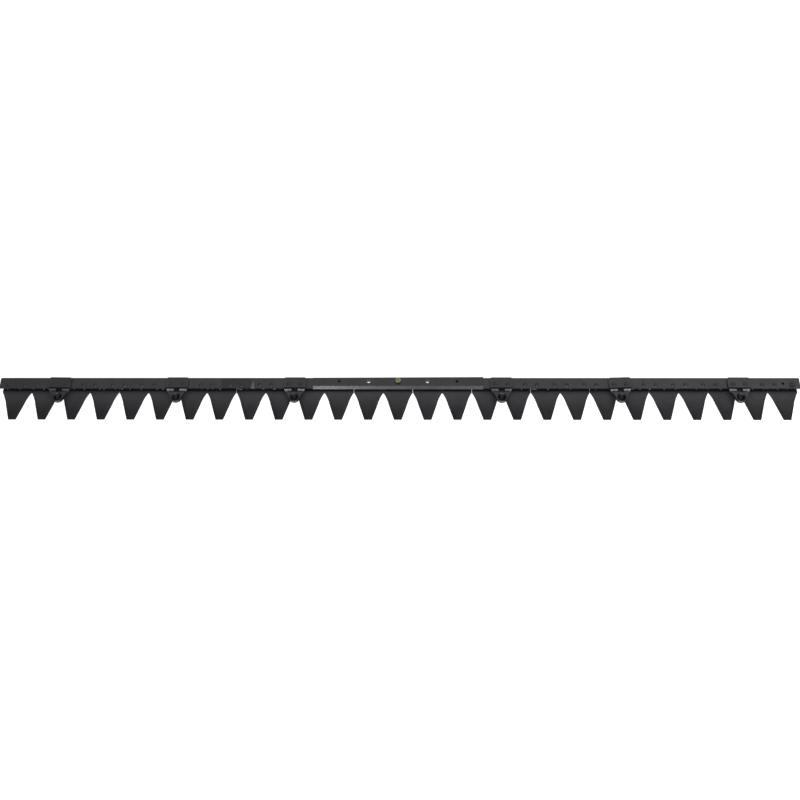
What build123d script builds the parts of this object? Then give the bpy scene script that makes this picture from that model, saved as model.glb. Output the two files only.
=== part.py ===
from build123d import *
import math
import os

# Upper knife of a double-knife mower bar, in millimetres.
# Toothed sections are riveted under a steel knife back. A bevelled drive rail stands in
# line with the back at mid length, and six forged guide plates carry ball sockets.
# +X runs along the knife, -Y points to the tips and +Z is up. The knife lies on the
# flat undersides of its sections, and the origin is under the middle of its outline.
# "Forward" is a distance in front of the knife back's front plane, towards the tips.

# Teeth
tooth_pitch = 70.0
tooth_count = 27
section_thickness = 3.0
section_slit = 0.8
section_rear = 27.0
tooth_reach = 76.4
tip_width = 17.8
tip_round = 0.5
notch_start = 4.6
notch_arc_forward = 17.5
notch_arc_gap = 6.9
flank_start = 35.8
flank_gap = 13.0
notch_round = 1.6
bevel_width = 8.0
bevel_start = 24.0
edge_land = 0.8

# Knife back
back_width = 28.0
back_height = 12.0
back_overhang = 5.0
back_corner = 3.0
lip_thickness = 3.0
lip_overhang = 5.0
spare_hole_diameter = 6.5
spare_hole_setback = 12.8

# Drive rail
rail_length = 405.0
rail_flare = 2.0
rail_height = 13.0
rail_bevel = 5.9
rail_lip_bottom = 10.0
rail_end_chamfer = 0.5
drive_setback = 19.0
drive_hole_diameter = 10.5
drive_slot_width = 13.0
thread_diameter = 8.0

# Drive bolt
bolt_diameter = 8.0
bolt_across_flats = 13.0
bolt_head_height = 5.3
bolt_end = 4.0

# Rivets
rivet_offset = 20.8
rivet_setback = 9.3
rivet_diameter = 6.0
rivet_hole_diameter = 6.2
countersink_diameter = 9.2
countersink_depth = 1.5
rivet_head_diameter = 9.6
plate_rivet_head_diameter = 11.5
end_rivet_head_diameter = 14.0
rivet_head_height = 2.8
rivet_head_rim = 0.5

# Guide plates
plate_notches = (2, 6, 10, 17, 21, 25)
plate_turns = (-0.8, 0.0, 0.0, 0.0, 2.0, 0.0)
flange_width = 53.0
flange_depth = 27.5
flange_thickness = 4.0
flange_corner = 5.0
nose_bottom = 10.0
nose_radius = 12.4
socket_forward = 24.6
groove_start = -0.4
groove_floor = 16.0
ridge_forward = 4.05
trough_start = 8.2
trough_end = 12.8
trough_floor = 14.8
pocket_floor = 11.5
pocket_width = 14.4
socket_radius = 8.0
socket_centre = 17.0
mouth_radius = 10.8
mouth_depth = 3.0
cup_bottom = 5.5
cup_radius = 9.0

# Levels and lines that follow from the sizes above
back_bottom = section_thickness
back_top = back_bottom + back_height
rail_top = back_bottom + rail_height
plate_top = back_top + flange_thickness
overall_depth = tooth_reach + back_width + rail_flare
front_y = tooth_reach - overall_depth / 2
back_half = tooth_count * tooth_pitch / 2 + back_overhang
rail_half = rail_length / 2
BASE = (Align.CENTER, Align.CENTER, Align.MIN)


def y_at(forward):
    """Y of a line at one distance in front of the knife back."""
    return front_y - forward


def tooth_x(tooth):
    """Centre line of a tooth. The teeth are numbered from 0 at the left end."""
    return (tooth - (tooth_count - 1) / 2) * tooth_pitch


def notch_x(notch):
    """Centre line of the notch at the left of the tooth with the same number."""
    return tooth_x(notch) - tooth_pitch / 2


def teeth_from(first):
    """The teeth of the section that starts at one tooth: two, or the last one alone."""
    return range(first, min(first + 2, tooth_count))


def rivet_xs(teeth):
    """The two rivet places of each tooth."""
    return [tooth_x(tooth) + side * rivet_offset for tooth in teeth for side in (-1, 1)]


def upright(x, setback, diameter, bottom, top):
    """A round bar or bore between two levels, behind the knife back's front plane."""
    return Pos(x, y_at(-setback), bottom) * Cylinder(diameter / 2, top - bottom, align=BASE)


def cone(x, forward, bottom, low_diameter, high_diameter, height):
    """An upright cone, for countersinks and the socket's cup."""
    return Pos(x, y_at(forward), bottom) * Cone(low_diameter / 2, high_diameter / 2, height, align=BASE)


def section_outline(teeth):
    """Plan of one section: straight rear, slit sides, curved notches and blunt tips."""
    left = notch_x(teeth[0]) + section_slit / 2
    right = notch_x(teeth[-1] + 1) - section_slit / 2
    root_y = y_at(notch_start)
    tip_y = y_at(tooth_reach)
    rear_y = y_at(-section_rear)
    lines = []
    for tooth in teeth:
        x = tooth_x(tooth)
        start = (left if tooth == teeth[0] else notch_x(tooth), root_y)
        end = (right if tooth == teeth[-1] else notch_x(tooth + 1), root_y)
        arc_half = tooth_pitch / 2 - notch_arc_gap
        flank_half = tooth_pitch / 2 - flank_gap
        arc_y = y_at(notch_arc_forward)
        flank_y = y_at(flank_start)
        lines.append(ThreePointArc(start, (x - arc_half, arc_y), (x - flank_half, flank_y)))
        lines.append(Line((x - flank_half, flank_y), (x - tip_width / 2, tip_y)))
        lines.append(Line((x - tip_width / 2, tip_y), (x + tip_width / 2, tip_y)))
        lines.append(Line((x + tip_width / 2, tip_y), (x + flank_half, flank_y)))
        lines.append(ThreePointArc((x + flank_half, flank_y), (x + arc_half, arc_y), end))
    lines += Polyline((right, root_y), (right, rear_y), (left, rear_y), (left, root_y)).edges()
    return make_face(Curve() + lines)


def corners_at(solid, forward, xs):
    """Upright edges of a plate at one distance forward and at any of some X places."""
    uprights = solid.edges().filter_by(Axis.Z)
    on_line = [edge for edge in uprights if abs(edge.center().Y - y_at(forward)) < 0.1]
    return [edge for edge in on_line if min(abs(edge.center().X - x) for x in xs) < 0.1]


def ground_edge(tooth, side):
    """The wedge that grinding takes off the top of one straight cutting edge."""
    inset = (tooth_pitch - tip_width) / 2 - flank_gap
    lean = math.degrees(math.atan2(inset, tooth_reach - flank_start))
    slope = (section_thickness - edge_land) / bevel_width
    spare = 5.0
    profile = Polygon(
        (-bevel_width, section_thickness),
        (spare, edge_land - spare * slope),
        (spare, section_thickness + 1),
        (-bevel_width, section_thickness + 1),
        align=None,
    )
    length = (tooth_reach - bevel_start) / math.cos(math.radians(lean)) + spare
    wedge = extrude(Plane.XZ * profile, amount=length, dir=(0, 1, 0))
    wedge = Pos(tip_width / 2, y_at(tooth_reach), 0) * Rot(0, 0, -lean) * Pos(0, -spare, 0) * wedge
    if side < 0:
        wedge = mirror(wedge, about=Plane.YZ)
    return Pos(tooth_x(tooth), 0, 0) * wedge


def drive_slot(x):
    """Room under an open drive hole: a round-ended slot that runs out of the section's rear edge."""
    length = section_rear - drive_setback + 1
    run = Pos(x, y_at(-drive_setback - length / 2), 0) * Box(
        drive_slot_width, length, section_thickness, align=BASE
    )
    return run + upright(x, drive_setback, drive_slot_width, 0, section_thickness)


def section(teeth):
    """One knife section: slit sides, blunt teeth with ground edges, and its holes."""
    blade = extrude(section_outline(teeth), amount=section_thickness)
    tip_xs = [tooth_x(tooth) + side * tip_width / 2 for tooth in teeth for side in (-1, 1)]
    blade = fillet(corners_at(blade, tooth_reach, tip_xs), tip_round)
    if len(teeth) > 1:
        blade = fillet(corners_at(blade, notch_start, [notch_x(teeth[-1])]), notch_round)
    for tooth in teeth:
        for side in (-1, 1):
            blade -= ground_edge(tooth, side)
    for x in rivet_xs(teeth):
        blade -= upright(x, rivet_setback, rivet_hole_diameter, 0, section_thickness)
        blade -= cone(x, -rivet_setback, 0, countersink_diameter, rivet_hole_diameter, countersink_depth)
    for x in (-tooth_pitch, tooth_pitch):
        if x in [tooth_x(tooth) for tooth in teeth]:
            blade -= drive_slot(x)
    return blade


def rivet_foot():
    """Half outline of a rivet's shank end, flush in its countersink."""
    slack = rivet_hole_diameter - rivet_diameter
    return (countersink_diameter - slack) / 2, rivet_diameter / 2


def domed_rivet(x, seat, head_diameter):
    """A rivet with a flush countersunk foot and a low domed head on its seat."""
    foot, shank = rivet_foot()
    head = head_diameter / 2
    rim = seat + rivet_head_rim
    crown = seat + rivet_head_height
    rise = crown - rim
    dome_radius = (head**2 + rise**2) / (2 * rise)
    on_dome = (head * 0.6, crown - dome_radius + math.sqrt(dome_radius**2 - (head * 0.6) ** 2))
    below = Polyline(
        (0, crown), (0, 0), (foot, 0), (shank, countersink_depth), (shank, seat), (head, seat), (head, rim)
    )
    outline = Curve() + below.edges() + ThreePointArc((head, rim), on_dome, (0, crown))
    return Pos(x, y_at(-rivet_setback), 0) * revolve(Plane.XZ * make_face(outline), Axis.Z)


def flush_rivet(x):
    """A rivet that is flush at both ends, because the rail's top must stay clear."""
    foot, shank = rivet_foot()
    outline = Polygon(
        (0, 0),
        (foot, 0),
        (shank, countersink_depth),
        (shank, rail_top - countersink_depth),
        (foot, rail_top),
        (0, rail_top),
        align=None,
    )
    return Pos(x, y_at(-rivet_setback), 0) * revolve(Plane.XZ * outline, Axis.Z)


def knife_back(side):
    """One length of the knife back. Its front edge overhangs a step along the underside."""
    profile = Polygon(
        (y_at(-lip_overhang), back_bottom),
        (y_at(-back_width), back_bottom),
        (y_at(-back_width), back_top),
        (y_at(0), back_top),
        (y_at(0), back_top - lip_thickness),
        (y_at(-lip_overhang), back_top - lip_thickness),
        align=None,
    )
    start = rail_half if side > 0 else -back_half
    bar = Pos(start, 0, 0) * extrude(Plane.YZ * profile, amount=back_half - rail_half)
    bar = fillet(corners_at(bar, -back_width, [side * back_half]), back_corner)
    for x in rivet_xs(range(tooth_count)):
        if x * side > rail_half:
            bar -= upright(x, rivet_setback, rivet_hole_diameter, back_bottom, back_top)
    if side > 0:
        last = tooth_x(tooth_count - 1)
        bar -= upright(last, spare_hole_setback, spare_hole_diameter, back_bottom, back_top)
    return bar


def drive_rail():
    """The bevelled rail that the drive head bolts to. Its rear edge flares out to the right."""
    rear = -back_width - rail_flare
    profile = Polygon(
        (y_at(-lip_overhang), back_bottom),
        (y_at(rear), back_bottom),
        (y_at(rear), rail_top),
        (y_at(-rail_bevel), rail_top),
        (y_at(0), rail_top - rail_bevel),
        (y_at(0), rail_lip_bottom),
        (y_at(-lip_overhang), rail_lip_bottom - 2),
        align=None,
    )
    rail = Pos(-rail_half, 0, 0) * extrude(Plane.YZ * profile, amount=rail_length)
    flare = Polygon(
        (-rail_half - 1, y_at(rear) + 1),
        (-rail_half - 1, y_at(-back_width)),
        (-rail_half, y_at(-back_width)),
        (rail_half, y_at(rear)),
        (rail_half, y_at(rear) + 1),
        align=None,
    )
    rail -= Pos(0, 0, back_bottom) * extrude(flare, amount=rail_height)
    ends = [edge for edge in rail.edges() if abs(abs(edge.center().X) - rail_half) < 0.1]
    rail = chamfer([edge for edge in ends if abs(edge.center().Z - rail_top) < 0.1], rail_end_chamfer)
    sink = rail_top - countersink_depth
    for x in rivet_xs(range(tooth_count)):
        if abs(x) < rail_half:
            rail -= upright(x, rivet_setback, rivet_hole_diameter, back_bottom, rail_top)
            rail -= cone(x, -rivet_setback, sink, rivet_hole_diameter, countersink_diameter, countersink_depth)
    for side in (-1, 1):
        x = side * tooth_pitch
        rail -= upright(x, drive_setback, drive_hole_diameter, back_bottom, rail_top)
        rail -= upright(2 * x, drive_setback, thread_diameter, back_bottom, rail_top)
    rail -= upright(0, drive_setback, bolt_diameter, back_bottom, rail_top)
    return rail


def drive_bolt():
    """The hexagon bolt in the middle drive hole, with a turned crown on its head."""
    hexagon = RegularPolygon(bolt_across_flats / 2, 6, major_radius=False)
    head = Pos(0, y_at(-drive_setback), rail_top) * extrude(hexagon, amount=bolt_head_height)
    crown_low = bolt_across_flats + 3 * bolt_head_height
    crown = cone(0, -drive_setback, rail_top, crown_low, bolt_across_flats * 0.96, bolt_head_height)
    return (head & crown) + upright(0, drive_setback, bolt_diameter - 0.1, bolt_end, rail_top)


def nose_recess(start, end, floor, width):
    """A square recess in the top of a nose, between two distances forward."""
    place = Pos(0, y_at((start + end) / 2), floor)
    return place * Box(width, end - start, plate_top - floor + 1, align=BASE)


def guide_plate_body():
    """A guide plate on the middle line: riveted flange, ridged nose and ball socket."""
    flange = Pos(0, y_at(-flange_depth / 2), back_top) * Box(
        flange_width, flange_depth, flange_thickness, align=BASE
    )
    flange = fillet(corners_at(flange, -flange_depth, [-flange_width / 2, flange_width / 2]), flange_corner)
    root = Line((-flange_width / 2, y_at(0)), (flange_width / 2, y_at(0)))
    end = Pos(0, y_at(socket_forward)) * Circle(nose_radius)
    plan = make_hull([root.edge(), end.edge()])
    nose = Pos(0, 0, nose_bottom) * extrude(plan, amount=plate_top - nose_bottom)
    cup = cone(0, socket_forward, cup_bottom, 2 * cup_radius, 2 * nose_radius, nose_bottom - cup_bottom)
    plate = flange + nose + cup
    wide = flange_width + 2
    plate -= nose_recess(groove_start, ridge_forward, groove_floor, wide)
    plate -= nose_recess(trough_start, trough_end, trough_floor, wide)
    plate -= nose_recess(groove_start, trough_end, pocket_floor, pocket_width)
    plate -= Pos(0, y_at(socket_forward), socket_centre) * Sphere(socket_radius)
    level = plate_top - mouth_depth
    throat = math.sqrt(socket_radius**2 - (level - socket_centre) ** 2)
    flare = mouth_radius - throat
    plate -= cone(0, socket_forward, level, 2 * throat, 2 * (mouth_radius + flare), 2 * mouth_depth)
    return plate


def guide_plate(notch, turn):
    """A guide plate over one notch, set at its own small turn, with two rivet holes."""
    x = notch_x(notch)
    pivot = y_at(-rivet_setback)
    plate = Pos(x, pivot, 0) * Rot(0, 0, turn) * Pos(0, -pivot, 0) * guide_plate_body()
    if turn:
        behind = Pos(x, y_at(-back_width / 2), back_bottom)
        plate -= behind * Box(2 * flange_width, back_width, back_height, align=BASE)
    for side in (-1, 1):
        rivet_x = x + side * (tooth_pitch / 2 - rivet_offset)
        plate -= upright(rivet_x, rivet_setback, rivet_hole_diameter, back_top, plate_top)
    return plate


def write(name, solids):
    """Writes one sub-part, which may be a group of separate solids."""
    bodies = [body for shape in solids for body in shape.solids()]
    shape = bodies[0] if len(bodies) == 1 else Compound(children=bodies)
    export_step(shape, os.path.join("parts", name + ".step"))


os.makedirs("parts", exist_ok=True)

plate_pairs = []
for notch in plate_notches:
    reach = tooth_pitch / 2 - rivet_offset
    plate_pairs.append((notch_x(notch) - reach, notch_x(notch) + reach))

for number, first in enumerate(range(0, tooth_count, 2), start=1):
    teeth = teeth_from(first)
    write(f"section_{number:02d}", [section(teeth)])
    rivets = []
    for x in rivet_xs(teeth):
        under_plate = any(abs(x - place) < 1 for pair in plate_pairs for place in pair)
        at_end = abs(x) > back_half - back_overhang - tooth_pitch / 4
        if abs(x) < rail_half:
            rivets.append(flush_rivet(x))
        elif not under_plate:
            head_diameter = end_rivet_head_diameter if at_end else rivet_head_diameter
            rivets.append(domed_rivet(x, back_top, head_diameter))
    write(f"section_rivets_{number:02d}", rivets)

write("knife_back_left", [knife_back(-1)])
write("knife_back_right", [knife_back(1)])
write("drive_rail", [drive_rail()])
write("drive_bolt", [drive_bolt()])

for number, (notch, turn) in enumerate(zip(plate_notches, plate_turns), start=1):
    write(f"guide_plate_{number}", [guide_plate(notch, turn)])
    pair = plate_pairs[number - 1]
    write(f"guide_rivets_{number}", [domed_rivet(x, plate_top, plate_rivet_head_diameter) for x in pair])
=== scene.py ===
# %% [markdown]
# # A mower knife, dressed for its photograph
#
# The knife is a long riveted steel bar with 27 blunt teeth, and nearly all of it looks
# painted black.
# Black paint shows its form through gloss and shadow, and hardly through colour, so this
# lesson spends its effort on the paint, on the lights and on a few small deposits.

import math
import random

import bmesh
import bpy
from mathutils import Matrix, Vector


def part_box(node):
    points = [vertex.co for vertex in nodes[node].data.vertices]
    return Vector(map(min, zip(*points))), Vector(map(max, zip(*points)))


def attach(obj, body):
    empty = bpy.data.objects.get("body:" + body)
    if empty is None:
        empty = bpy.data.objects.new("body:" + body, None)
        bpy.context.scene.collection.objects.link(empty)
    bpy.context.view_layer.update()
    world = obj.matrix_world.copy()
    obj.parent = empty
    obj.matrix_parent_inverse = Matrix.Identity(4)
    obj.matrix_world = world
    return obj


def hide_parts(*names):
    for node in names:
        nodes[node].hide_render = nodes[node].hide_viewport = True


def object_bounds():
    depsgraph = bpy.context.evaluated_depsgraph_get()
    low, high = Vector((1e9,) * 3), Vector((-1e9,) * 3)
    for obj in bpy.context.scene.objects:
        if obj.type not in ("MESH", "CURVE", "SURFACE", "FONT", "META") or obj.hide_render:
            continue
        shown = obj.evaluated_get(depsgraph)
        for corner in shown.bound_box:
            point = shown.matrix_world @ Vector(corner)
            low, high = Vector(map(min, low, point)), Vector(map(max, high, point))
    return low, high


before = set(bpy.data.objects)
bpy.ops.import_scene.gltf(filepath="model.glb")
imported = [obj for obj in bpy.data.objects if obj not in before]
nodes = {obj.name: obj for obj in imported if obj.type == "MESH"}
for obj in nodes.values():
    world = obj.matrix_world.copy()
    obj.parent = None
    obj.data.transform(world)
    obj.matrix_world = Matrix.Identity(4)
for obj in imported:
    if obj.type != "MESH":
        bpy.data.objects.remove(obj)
cad_low, cad_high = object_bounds()
print(len(nodes), "nodes, box", tuple(cad_low), tuple(cad_high))

# %% [markdown]
# ## The lines that everything is placed from
#
# The row frame has its origin under the middle of the outline, in metres. The boxes of the
# solids give the lines that most places are measured from. A few sizes that no box shows,
# such as the depth of the troughs, are named where they are used.

# %% Places read from the solids
back_low, back_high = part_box("knife_back_left")
rail_low, rail_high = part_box("drive_rail")
right_back_low, right_back_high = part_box("knife_back_right")
front_plane = back_low.y
back_top = back_high.z
rail_top = rail_high.z
section_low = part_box("section_01")[0]
tip_line = section_low.y
tooth_pitch = (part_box("section_02")[0].x - section_low.x) / 2
print("front plane", front_plane, "back top", back_top, "pitch", tooth_pitch)

# %% [markdown]
# ## Black paint
#
# The knife looks dipped or sprayed in black paint. Paint on steel is a dark dielectric
# layer, so a Principled shader with no metallic part fits it. A fine noise bends the
# surface for the orange-peel skin, and a broad noise varies the roughness, as thin and
# thick paint do. Object coordinates hold the pattern still when the camera moves. The
# gloss of the knife in the photograph is a little blue, so the specular tint is too.


# %% Helpers for painted steel
cool_tint = (0.93, 0.92, 1.0, 1.0)
noise_low = 0.35
noise_high = 0.65
patch_scale = 26.0
patch_detail = 4.0
streak_scale = 60.0
streak_detail = 6.0
skin_scale = 420.0
skin_detail = 3.0
skin_depth = 0.0004


def noise(tree, scale, detail, places):
    """A noise texture that reads the piece's own coordinates."""
    texture = tree.nodes.new("ShaderNodeTexNoise")
    texture.inputs["Scale"].default_value = scale
    texture.inputs["Detail"].default_value = detail
    tree.links.new(places.outputs["Object"], texture.inputs["Vector"])
    return texture


def remap(tree, source, low, high):
    """Turns a 0 to 1 pattern into a range of values."""
    ramp = tree.nodes.new("ShaderNodeMapRange")
    ramp.inputs["From Min"].default_value = noise_low
    ramp.inputs["From Max"].default_value = noise_high
    ramp.inputs["To Min"].default_value = low
    ramp.inputs["To Max"].default_value = high
    tree.links.new(source, ramp.inputs["Value"])
    return ramp.outputs["Result"]


def painted_steel(name, dark, light, smooth, rough, peel, gloss):
    """Black paint that varies between two greys and between two roughnesses."""
    material = bpy.data.materials.new(name)
    material.use_nodes = True
    tree = material.node_tree
    shader = tree.nodes["Principled BSDF"]
    shader.inputs["Specular IOR Level"].default_value = gloss
    shader.inputs["Specular Tint"].default_value = cool_tint
    places = tree.nodes.new("ShaderNodeTexCoord")
    patches = noise(tree, patch_scale, patch_detail, places)
    colour = tree.nodes.new("ShaderNodeMix")
    colour.data_type = "RGBA"
    colour.inputs["A"].default_value = (*dark, 1.0)
    colour.inputs["B"].default_value = (*light, 1.0)
    tree.links.new(remap(tree, patches.outputs["Fac"], 0.0, 1.0), colour.inputs["Factor"])
    tree.links.new(colour.outputs["Result"], shader.inputs["Base Color"])
    streaks = noise(tree, streak_scale, streak_detail, places)
    tree.links.new(remap(tree, streaks.outputs["Fac"], smooth, rough), shader.inputs["Roughness"])
    skin = noise(tree, skin_scale, skin_detail, places)
    bump = tree.nodes.new("ShaderNodeBump")
    bump.inputs["Strength"].default_value = peel
    bump.inputs["Distance"].default_value = skin_depth
    tree.links.new(skin.outputs["Fac"], bump.inputs["Height"])
    tree.links.new(bump.outputs["Normal"], shader.inputs["Normal"])
    print("paint", name, "roughness", smooth, "to", rough)
    return material


# %% Paints of the back, the rail, the plates and the rivets
back_paint = painted_steel(
    "back_paint", (0.0130, 0.0130, 0.0150), (0.0190, 0.0186, 0.0208),
    smooth=0.32, rough=0.42, peel=0.14, gloss=0.5,
)
rail_paint = painted_steel(
    "rail_paint", (0.0085, 0.0084, 0.0098), (0.0115, 0.0112, 0.0130),
    smooth=0.28, rough=0.34, peel=0.06, gloss=0.5,
)
plate_paint = painted_steel(
    "plate_paint", (0.0080, 0.0080, 0.0094), (0.0140, 0.0136, 0.0155),
    smooth=0.30, rough=0.38, peel=0.09, gloss=0.5,
)
rivet_paint = painted_steel(
    "rivet_paint", (0.0080, 0.0080, 0.0092), (0.0130, 0.0128, 0.0144),
    smooth=0.28, rough=0.40, peel=0.20, gloss=0.5,
)

# %% [markdown]
# ## Painted light on the sections
#
# The sections are darkest at their tips and palest beside the back. The paleness is painted
# light: a second, paler colour is laid over the paint by how far forward a point lies, and it
# keeps the sections beside the back pale where the back would shade them. Object coordinates
# are right for this, because every section carries its place in its mesh. The painted light
# fades out over the last few millimetres under the edge of the back, so that strip keeps the
# dark paint as painted shade, as it is in the photograph.


# %% Helpers that lay a colour over the paint
def ramp_along(tree, places, axis, start, end):
    """A 0 to 1 ramp between two places along one axis, softened at both ends."""
    split = tree.nodes.new("ShaderNodeSeparateXYZ")
    tree.links.new(places.outputs["Object"], split.inputs["Vector"])
    ramp = tree.nodes.new("ShaderNodeMapRange")
    ramp.interpolation_type = "SMOOTHSTEP"
    ramp.inputs["From Min"].default_value = start
    ramp.inputs["From Max"].default_value = end
    tree.links.new(split.outputs[axis], ramp.inputs["Value"])
    return ramp.outputs["Result"]


def multiply(tree, first, second):
    """The product of two patterns."""
    product = tree.nodes.new("ShaderNodeMath")
    product.operation = "MULTIPLY"
    tree.links.new(first, product.inputs[0])
    tree.links.new(second, product.inputs[1])
    return product.outputs["Value"]


def lay_over(material, mask, colour):
    """Mixes one more colour over what the shader already shows, where the mask is 1."""
    tree = material.node_tree
    base = tree.nodes["Principled BSDF"].inputs["Base Color"]
    under = base.links[0].from_socket
    mix = tree.nodes.new("ShaderNodeMix")
    mix.data_type = "RGBA"
    mix.inputs["B"].default_value = (*colour, 1.0)
    tree.links.new(mask, mix.inputs["Factor"])
    tree.links.new(under, mix.inputs["A"])
    tree.links.new(mix.outputs["Result"], base)


# %% Paint and painted light of the sections
section_paint = painted_steel(
    "section_paint", (0.0040, 0.0039, 0.0046), (0.0075, 0.0072, 0.0084),
    smooth=0.46, rough=0.60, peel=0.14, gloss=0.32,
)
section_tree = section_paint.node_tree
section_places = section_tree.nodes.new("ShaderNodeTexCoord")
painted_light_start = tip_line + 0.010
painted_light_end = front_plane - 0.004
painted_shade_edge_start = front_plane - 0.0006
painted_shade_edge_end = front_plane - 0.0034
painted_light_colour = (0.037, 0.036, 0.040)
cloud_scale = 14.0
cloud_detail = 3.0
cloud_thinnest = 0.75
# Painted light: a paler colour beside the back. The strip under the edge stays dark as painted
# shade.
painted_light_ramp = ramp_along(section_tree, section_places, "Y", painted_light_start, painted_light_end)
painted_light_fade_at_edge = ramp_along(section_tree, section_places, "Y", painted_shade_edge_start, painted_shade_edge_end)
painted_light_noise = noise(section_tree, cloud_scale, cloud_detail, section_places)
painted_light_cloud = remap(section_tree, painted_light_noise.outputs["Fac"], cloud_thinnest, 1.0)
painted_light_shape = multiply(section_tree, painted_light_ramp, painted_light_fade_at_edge)
lay_over(section_paint, multiply(section_tree, painted_light_shape, painted_light_cloud), painted_light_colour)
# The printed range is that of the painted light.
print("dust from", round(painted_light_start, 4), "to", round(painted_light_end, 4))

# %% [markdown]
# ## A touched-up patch on the back
#
# Left of the middle, the photograph shows a stretch of the back that is a little darker and
# flatter, and it ends in a pale wedge. The stretch is read as paint, and the wedge is only a
# pale colour laid over the paint. Neither has a thickness worth modelling, so both are masks
# on the back's material. The wedge narrows towards the rear, so its side lines lean with the
# distance from the front edge.

# %% Masks for the patch and the wedge
back_tree = back_paint.node_tree
back_places = back_tree.nodes.new("ShaderNodeTexCoord")
patch_left = -0.421
patch_right = -0.3500
wedge_middle = -0.3450
wedge_half = 0.0046
wedge_length = 0.019
edge_soft = 0.0010
patch_soft = 0.004
patch_colour = (0.0035, 0.0038, 0.0034)
wedge_colour = (0.085, 0.080, 0.086)


def leaning_edge(tree, places, middle, half, side):
    """One side of the wedge: 1 inside, and 0 past a line that leans to the middle."""
    split = tree.nodes.new("ShaderNodeSeparateXYZ")
    tree.links.new(places.outputs["Object"], split.inputs["Vector"])
    lean = tree.nodes.new("ShaderNodeMath")
    lean.operation = "MULTIPLY_ADD"
    lean.inputs[1].default_value = side * half / wedge_length
    lean.inputs[2].default_value = -side * (front_plane * half / wedge_length + half)
    tree.links.new(split.outputs["Y"], lean.inputs[0])
    line = tree.nodes.new("ShaderNodeMath")
    line.operation = "ADD"
    tree.links.new(split.outputs["X"], line.inputs[0])
    tree.links.new(lean.outputs["Value"], line.inputs[1])
    edge = tree.nodes.new("ShaderNodeMapRange")
    edge.interpolation_type = "SMOOTHSTEP"
    edge.inputs["From Min"].default_value = middle + side * edge_soft
    edge.inputs["From Max"].default_value = middle - side * edge_soft
    tree.links.new(line.outputs["Value"], edge.inputs["Value"])
    return edge.outputs["Result"]


patch = multiply(
    back_tree,
    ramp_along(back_tree, back_places, "X", patch_left - patch_soft, patch_left + patch_soft),
    ramp_along(back_tree, back_places, "X", patch_right + edge_soft, patch_right - edge_soft),
)
lay_over(back_paint, patch, patch_colour)
wedge = multiply(
    back_tree,
    leaning_edge(back_tree, back_places, wedge_middle, wedge_half, 1),
    leaning_edge(back_tree, back_places, wedge_middle, wedge_half, -1),
)
lay_over(back_paint, wedge, wedge_colour)
print("patch from", patch_left, "to", patch_right, "wedge at", wedge_middle)

# %% [markdown]
# ## Yellow zinc on the bolt
#
# One bolt isn't painted, and its dull straw colour is that of yellow-passivated zinc. That
# is a thin metal coat whose colour drifts to green, so a metallic shader fits it. Its
# colour follows a noise, with grime at the dark end.


# %% The zinc finish
straw = (0.30, 0.28, 0.17, 1.0)
grime = (0.11, 0.11, 0.07, 1.0)
zinc_roughness = 0.42
drift_scale = 240.0
drift_detail = 2.0


def zinc_plating(name):
    """Straw-coloured zinc with the faint colour drift of its passivation."""
    material = bpy.data.materials.new(name)
    material.use_nodes = True
    tree = material.node_tree
    shader = tree.nodes["Principled BSDF"]
    shader.inputs["Metallic"].default_value = 1.0
    shader.inputs["Roughness"].default_value = zinc_roughness
    places = tree.nodes.new("ShaderNodeTexCoord")
    drift = noise(tree, drift_scale, drift_detail, places)
    colour = tree.nodes.new("ShaderNodeMix")
    colour.data_type = "RGBA"
    colour.inputs["A"].default_value = straw
    colour.inputs["B"].default_value = grime
    tree.links.new(remap(tree, drift.outputs["Fac"], 0.0, 1.0), colour.inputs["Factor"])
    tree.links.new(colour.outputs["Result"], shader.inputs["Base Color"])
    print("zinc", name)
    return material


bolt_zinc = zinc_plating("bolt_zinc")

# %% [markdown]
# ## Each solid gets its finish
#
# The finishes follow the kinds of piece, and the name of a node says its kind. The longer
# prefixes come first, because section_rivets also starts with section.

# %% Put the finishes on
finish_of = {
    "section_rivets": rivet_paint,
    "guide_rivets": rivet_paint,
    "guide_plate": plate_paint,
    "knife_back": back_paint,
    "drive_rail": rail_paint,
    "drive_bolt": bolt_zinc,
    "section": section_paint,
}
for name, solid in nodes.items():
    kind = next(prefix for prefix in finish_of if name.startswith(prefix))
    solid.data.materials.clear()
    solid.data.materials.append(finish_of[kind])
print("finished", len(nodes), "nodes")

# %% [markdown]
# ## Sloped ridges on the guide plates
#
# In the photograph the ridge shines as the bevel of the rail does on five of the six noses,
# so its front side is taken to lean by 45 degrees too. The solids have this ridge with a
# level top. So each plate is copied, the front corners of its ridge are lowered to the
# floor of the trough ahead of it, and the copy stands for the plate. The pocket behind the
# ridge is dim in the photograph, so it and the socket get a duller paint whose darker colour
# is painted shade.


# %% Duller paint with painted shade for the hollows
hollow_shade_paint = painted_steel(
    "hollow_shade_paint", (0.0035, 0.0035, 0.0042), (0.0065, 0.0063, 0.0074),
    smooth=0.40, rough=0.50, peel=0.10, gloss=0.36,
)


# %% Helpers that paint shade into the hollows and slope the ridge of a plate
def paint_shade_in_hollows(plate):
    """Gives painted shade to the socket and the pocket floor, and counts their faces."""
    foot = min(vert.co.z for vert in plate.verts)
    cup_ring = [vert.co for vert in plate.verts if vert.co.z < foot + merge_gap]
    axis = sum(cup_ring, Vector()) / len(cup_ring)
    shaded = 0
    for face in plate.faces:
        near = all((vert.co - axis).xy.length < mouth_radius for vert in face.verts)
        in_socket = near and min(vert.co.z for vert in face.verts) > socket_floor
        on_pocket = all(abs(vert.co.z - pocket_floor) < merge_gap for vert in face.verts)
        if in_socket or on_pocket:
            # The second finish here is darker paint, and that darkness is painted shade.
            face.material_index = 1
            shaded += 1
    return shaded


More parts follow.
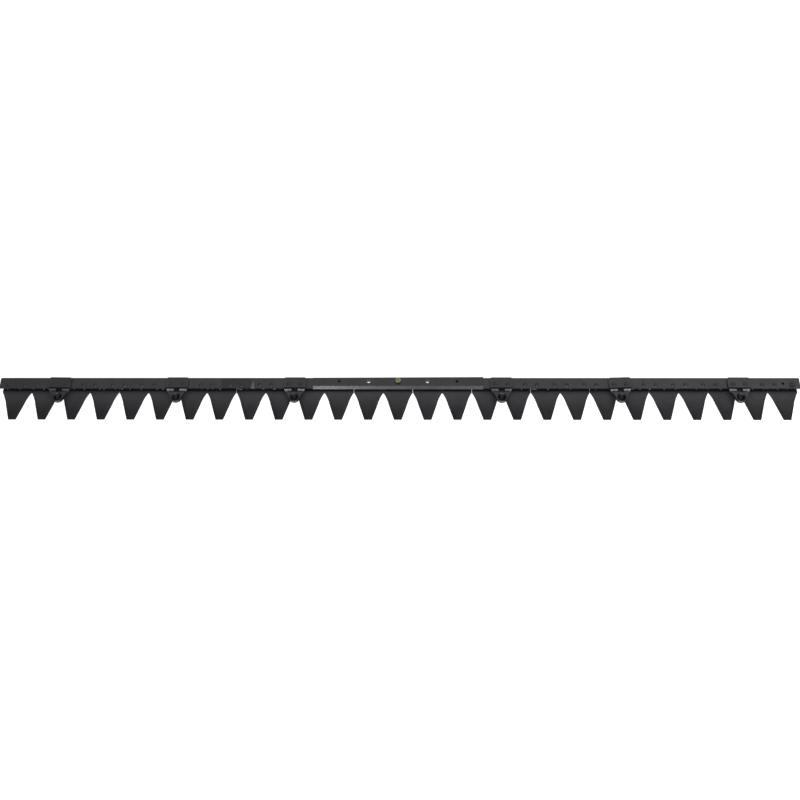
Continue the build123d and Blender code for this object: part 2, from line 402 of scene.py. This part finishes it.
def ridged_plate(number):
    """A guide plate whose ridge slopes down to the trough in front of it."""
    solid = nodes[f"guide_plate_{number}"]
    plate = bmesh.new()
    plate.from_mesh(solid.data)
    bmesh.ops.remove_doubles(plate, verts=plate.verts, dist=merge_gap)
    bmesh.ops.dissolve_limit(plate, angle_limit=flat_angle, verts=plate.verts, edges=plate.edges)
    plate_top = max(vert.co.z for vert in plate.verts)
    lowered = 0
    for vert in plate.verts:
        ahead = front_plane - vert.co.y
        if vert.co.z > plate_top - merge_gap and ridge_behind < ahead < ridge_ahead:
            vert.co.z = plate_top - trough_depth
            lowered += 1
    bmesh.ops.remove_doubles(plate, verts=plate.verts, dist=merge_gap)
    bmesh.ops.dissolve_degenerate(plate, edges=plate.edges, dist=merge_gap)
    bmesh.ops.recalc_face_normals(plate, faces=plate.faces)
    shaded = paint_shade_in_hollows(plate)
    open_edges = sum(1 for edge in plate.edges if not edge.is_manifold)
    name = f"ridged_plate_{number}"
    mesh = bpy.data.meshes.new(name)
    plate.to_mesh(mesh)
    plate.free()
    if "custom_normal" in mesh.attributes:
        mesh.attributes.remove(mesh.attributes["custom_normal"])
    mesh.materials.append(plate_paint)
    mesh.materials.append(hollow_shade_paint)
    mesh.shade_smooth()
    mesh.set_sharp_from_angle(angle=crease_angle)
    piece = bpy.data.objects.new(name, mesh)
    bpy.context.scene.collection.objects.link(piece)
    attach(piece, "root")
    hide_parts(solid.name)
    print(name, lowered, "corners lowered,", shaded, "faces dulled,", open_edges, "open edges")


# %% Six ridged plates
merge_gap = 1e-6
flat_angle = math.radians(0.1)
crease_angle = math.radians(30)
ridge_behind = 0.006
ridge_ahead = 0.0105
trough_depth = 0.0042
mouth_radius = 0.0109
socket_floor = 0.0085
pocket_floor = 0.0115
for number in range(1, 7):
    ridged_plate(number)

# %% [markdown]
# ## Paint beads under the front edge
#
# Small glints lie in the dark band below the front edge of the knife back. They are read as
# beads of paint that ran off and dried on the lower line of the edge. Each bead is a flat
# icosphere that leans by 45 degrees and sits half in the edge. Most are a few millimetres
# wide, a few are longer, and a fixed seed gives the same row every time.


# %% Helpers for a row of beads
bead_widths = (0.0026, 0.0066)
bead_heights = (0.0026, 0.0042)
bead_drops = (0.0024, 0.0034)
bead_spacings = (0.4, 1.7)
long_bead_height = 0.0042
long_bead_drop = 0.0030
bead_thickness_share = 0.45
bead_forward_share = 0.15
bead_lean = math.radians(45)


def add_bead(beads, x, width, height, drop):
    """One dried bead that leans forward out of the front plane of the back."""
    thickness = height * bead_thickness_share
    shape = Matrix.Diagonal((width / 2, height / 2, thickness / 2, 1.0))
    lean = Matrix.Rotation(bead_lean, 4, "X")
    place = Matrix.Translation((x, front_plane - height * bead_forward_share, back_top - drop))
    bmesh.ops.create_icosphere(beads, subdivisions=3, radius=1.0, matrix=place @ lean @ shape)


def bead_row(name, first_x, last_x, spacing, long_beads, seed):
    """Dried paint beads along the front edge of the knife back, as one piece."""
    scatter = random.Random(seed)
    beads = bmesh.new()
    x = first_x
    count = 0
    while x < last_x:
        width = scatter.uniform(*bead_widths)
        height = scatter.uniform(*bead_heights)
        add_bead(beads, x, width, height, scatter.uniform(*bead_drops))
        x += spacing * scatter.uniform(*bead_spacings)
        count += 1
    for x, width in long_beads:
        add_bead(beads, x, width, long_bead_height, long_bead_drop)
        count += 1
    mesh = bpy.data.meshes.new(name)
    beads.to_mesh(mesh)
    beads.free()
    piece = bpy.data.objects.new(name, mesh)
    bpy.context.scene.collection.objects.link(piece)
    mesh.materials.append(back_paint)
    mesh.shade_smooth()
    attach(piece, "root")
    print(name, count, "beads")


# %% Two rows of beads
end_margin = 0.02
left_run_beads = ((-0.422, 0.0055), (-0.375, 0.0125), (-0.293, 0.0060), (-0.700, 0.0050))
right_run_beads = ((0.322, 0.0125), (0.355, 0.0055), (0.595, 0.0060))
bead_row(
    "paint_beads_left",
    back_low.x + end_margin,
    back_high.x - end_margin,
    tooth_pitch / 3,
    left_run_beads,
    seed=3,
)
bead_row(
    "paint_beads_right",
    right_back_low.x + end_margin,
    right_back_high.x - end_margin,
    tooth_pitch / 2,
    right_run_beads,
    seed=8,
)

# %% [markdown]
# ## Threads in the two tapped holes
#
# The two outer holes of the drive rail are small and dark, and they are read as tapped. A
# thread is too fine for the solids, so it is a scene piece. The section of the thread is a
# small trapezium, and a spin that also climbs turns it into a helix that lines the bore.
# The ends are filled, so the ridge is closed.


# %% A helper for an inner thread
thread_pitch = 0.00125
thread_bore = 0.004
thread_bite = 0.00005
thread_depth_share = 0.55
thread_crest_start = 0.42
thread_crest_end = 0.54
thread_root_end = 0.96
thread_merge_gap = 1e-7
steps_per_turn = 24


def inner_thread(name, x, y, bottom, top, bore, pitch):
    """A helical ridge that lines a bore."""
    depth = pitch * thread_depth_share
    turns = int((top - bottom) / pitch) - 1
    ridge = bmesh.new()
    profile = (
        (bore + thread_bite, 0.0),
        (bore - depth, pitch * thread_crest_start),
        (bore - depth, pitch * thread_crest_end),
        (bore + thread_bite, pitch * thread_root_end),
    )
    foot = bottom + pitch / 2
    corners = [ridge.verts.new((x + radius, y, foot + rise)) for radius, rise in profile]
    tooth = ridge.faces.new(corners)
    bmesh.ops.spin(
        ridge,
        geom=[tooth, *tooth.edges, *tooth.verts],
        cent=(x, y, 0),
        axis=(0, 0, 1),
        dvec=(0, 0, pitch / steps_per_turn),
        angle=2 * math.pi * turns,
        steps=steps_per_turn * turns,
        use_merge=False,
        use_normal_flip=False,
        use_duplicate=False,
    )
    bmesh.ops.remove_doubles(ridge, verts=ridge.verts, dist=thread_merge_gap)
    open_edges = [edge for edge in ridge.edges if edge.is_boundary]
    if open_edges:
        bmesh.ops.holes_fill(ridge, edges=open_edges, sides=0)
    bmesh.ops.recalc_face_normals(ridge, faces=ridge.faces)
    mesh = bpy.data.meshes.new(name)
    ridge.to_mesh(mesh)
    ridge.free()
    mesh.materials.append(rail_paint)
    piece = bpy.data.objects.new(name, mesh)
    bpy.context.scene.collection.objects.link(piece)
    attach(piece, "root")
    print(name, turns, "turns", len(mesh.polygons), "faces")


# %% The two threads
drive_setback = 0.019
hole_line = front_plane + drive_setback
for side_name, side in (("left", -1), ("right", 1)):
    inner_thread(
        f"tapped_thread_{side_name}",
        side * 2 * tooth_pitch,
        hole_line,
        rail_low.z,
        rail_top,
        thread_bore,
        thread_pitch,
    )

# %% [markdown]
# ## Floor and white surround
#
# The photograph has a clean white ground, and no shadow can be seen on it. The floor is a
# pale diffuse plane that takes light and shadow. Where the camera or a reflection sees it,
# the Light Path node adds a glow that lifts it past white, the shadow too, so no lamp has
# to be brighter than the paint can bear.


# %% Floor material and plane
floor_colour = (0.62, 0.62, 0.62, 1.0)
floor_glow = 0.78
floor_half = 12.0
floor_gap = 0.0002


def pale_floor(name):
    """A pale diffuse floor that glows white where the camera or a reflection sees it."""
    material = bpy.data.materials.new(name)
    material.use_nodes = True
    tree = material.node_tree
    tree.nodes.clear()
    output = tree.nodes.new("ShaderNodeOutputMaterial")
    diffuse = tree.nodes.new("ShaderNodeBsdfDiffuse")
    diffuse.inputs["Color"].default_value = floor_colour
    glow = tree.nodes.new("ShaderNodeEmission")
    glow.inputs["Color"].default_value = (1.0, 1.0, 1.0, 1.0)
    path = tree.nodes.new("ShaderNodeLightPath")
    straight = tree.nodes.new("ShaderNodeMath")
    tree.links.new(path.outputs["Is Camera Ray"], straight.inputs[0])
    tree.links.new(path.outputs["Is Glossy Ray"], straight.inputs[1])
    seen = tree.nodes.new("ShaderNodeMath")
    seen.use_clamp = True
    tree.links.new(straight.outputs["Value"], seen.inputs[0])
    tree.links.new(path.outputs["Is Transmission Ray"], seen.inputs[1])
    strength = tree.nodes.new("ShaderNodeMath")
    strength.operation = "MULTIPLY"
    strength.inputs[1].default_value = floor_glow
    tree.links.new(seen.outputs["Value"], strength.inputs[0])
    tree.links.new(strength.outputs["Value"], glow.inputs["Strength"])
    both = tree.nodes.new("ShaderNodeAddShader")
    tree.links.new(diffuse.outputs["BSDF"], both.inputs[0])
    tree.links.new(glow.outputs["Emission"], both.inputs[1])
    tree.links.new(both.outputs["Shader"], output.inputs["Surface"])
    return material


floor_mesh = bpy.data.meshes.new("floor")
floor_bm = bmesh.new()
bmesh.ops.create_grid(floor_bm, x_segments=1, y_segments=1, size=floor_half)
floor_bm.to_mesh(floor_mesh)
floor_bm.free()
floor = bpy.data.objects.new("floor", floor_mesh)
floor.location.z = cad_low.z - floor_gap
floor_mesh.materials.append(pale_floor("pale_floor"))
bpy.context.scene.collection.objects.link(floor)
print("floor at", floor.location.z)

# %% [markdown]
# ## World
#
# An even white world stands for the walls of a studio. It fills the shadows, and at this
# strength the paint keeps its contrast. In the photograph's view the floor hides it.

# %% World
world_strength = 0.45
world = bpy.data.worlds.new("studio")
bpy.context.scene.world = world
world.use_nodes = True
backdrop = world.node_tree.nodes["Background"]
backdrop.inputs["Color"].default_value = (1.0, 1.0, 1.0, 1.0)
backdrop.inputs["Strength"].default_value = world_strength
print("world strength", world_strength)

# %% [markdown]
# ## Studio lamps
#
# The bevel of the drive rail and most ridges of the guide plates are among the brightest
# parts of the knife in the photograph. They are taken to lean forward by 45 degrees, so
# what they mirror lies in front of the knife and about 28 degrees up. The bevel is palest
# at its left end and dims towards the right, and ridges shine at both sides of it, so two
# soft boxes stand there with a gap between them. The flat tops mirror what is behind and
# above. A broad weak lamp there gives them their even grey, and a second one at its right
# end makes the last sections a little paler, as they are in the photograph.


# %% A helper for area lamps
def area_lamp(name, place, aim, size, energy):
    """A rectangular soft lamp that looks at a point."""
    data = bpy.data.lights.new(name, "AREA")
    data.shape = "RECTANGLE"
    data.size, data.size_y = size
    data.energy = energy
    lamp = bpy.data.objects.new(name, data)
    lamp.location = place
    lamp.rotation_euler = (Vector(aim) - Vector(place)).to_track_quat("-Z", "Y").to_euler()
    bpy.context.scene.collection.objects.link(lamp)
    print(name, energy, "W")


# %% Four soft boxes
front_reach = 2.4
front_rise = math.radians(28)
front_depth = -front_reach * math.cos(front_rise)
front_height = front_reach * math.sin(front_rise)
front_left_place = (-0.80, front_depth, front_height)
front_right_place = (1.20, front_depth, front_height)
area_lamp("front_left_box", front_left_place, aim=(-0.4, 0, 0), size=(1.12, 0.7), energy=29)
area_lamp("front_right_box", front_right_place, aim=(0.6, 0, 0), size=(1.35, 0.7), energy=34)
rear_depth = 1.3
rear_height = 2.3
rear_place = (0.5, rear_depth, rear_height)
rear_right_place = (2.0, rear_depth, rear_height)
area_lamp("rear_soft_box", rear_place, aim=(0, 0, 0), size=(5.4, 1.6), energy=20)
area_lamp("rear_right_box", rear_right_place, aim=(0.7, 0, 0), size=(1.8, 1.6), energy=3.6)

# %% [markdown]
# ## Camera
#
# The camera was found by fitting the tooth tips, the notches, the rivets and the edges of
# the back to their places in the photograph. It looks down at about 62 degrees from in
# front of the teeth. A small swing and a small roll give the slightly larger right end.

# %% Camera at the photograph's angle
camera_distance = 2.3946
camera_elevation = math.radians(61.795)
camera_swing = math.radians(-1.557)
camera_roll = math.radians(-1.3456)
sensor_width = 36.0
lens_length = 45.45
far_clip = 50.0
aim_point = Vector((0.00474, -0.0003, 0.0))
look = Vector(
    (
        math.sin(camera_swing) * math.cos(camera_elevation),
        math.cos(camera_swing) * math.cos(camera_elevation),
        -math.sin(camera_elevation),
    )
)
across = look.cross(Vector((0, 0, 1))).normalized()
upward = across.cross(look)
rolled_across = math.cos(camera_roll) * across + math.sin(camera_roll) * upward
rolled_upward = math.cos(camera_roll) * upward - math.sin(camera_roll) * across
camera_data = bpy.data.cameras.new("camera")
camera_data.sensor_width = sensor_width
camera_data.lens = lens_length
camera_data.clip_end = far_clip
camera = bpy.data.objects.new("camera", camera_data)
axes = Matrix((rolled_across, rolled_upward, -look)).transposed()
camera.matrix_world = Matrix.Translation(aim_point - look * camera_distance) @ axes.to_4x4()
bpy.context.scene.collection.objects.link(camera)
bpy.context.scene.camera = camera
print("camera at", tuple(round(v, 3) for v in camera.matrix_world.translation))

# %% [markdown]
#
# The Standard view shows a colour about as it is written. No added piece may make the
# knife larger than it is.

bpy.context.scene.view_settings.view_transform = "Standard"
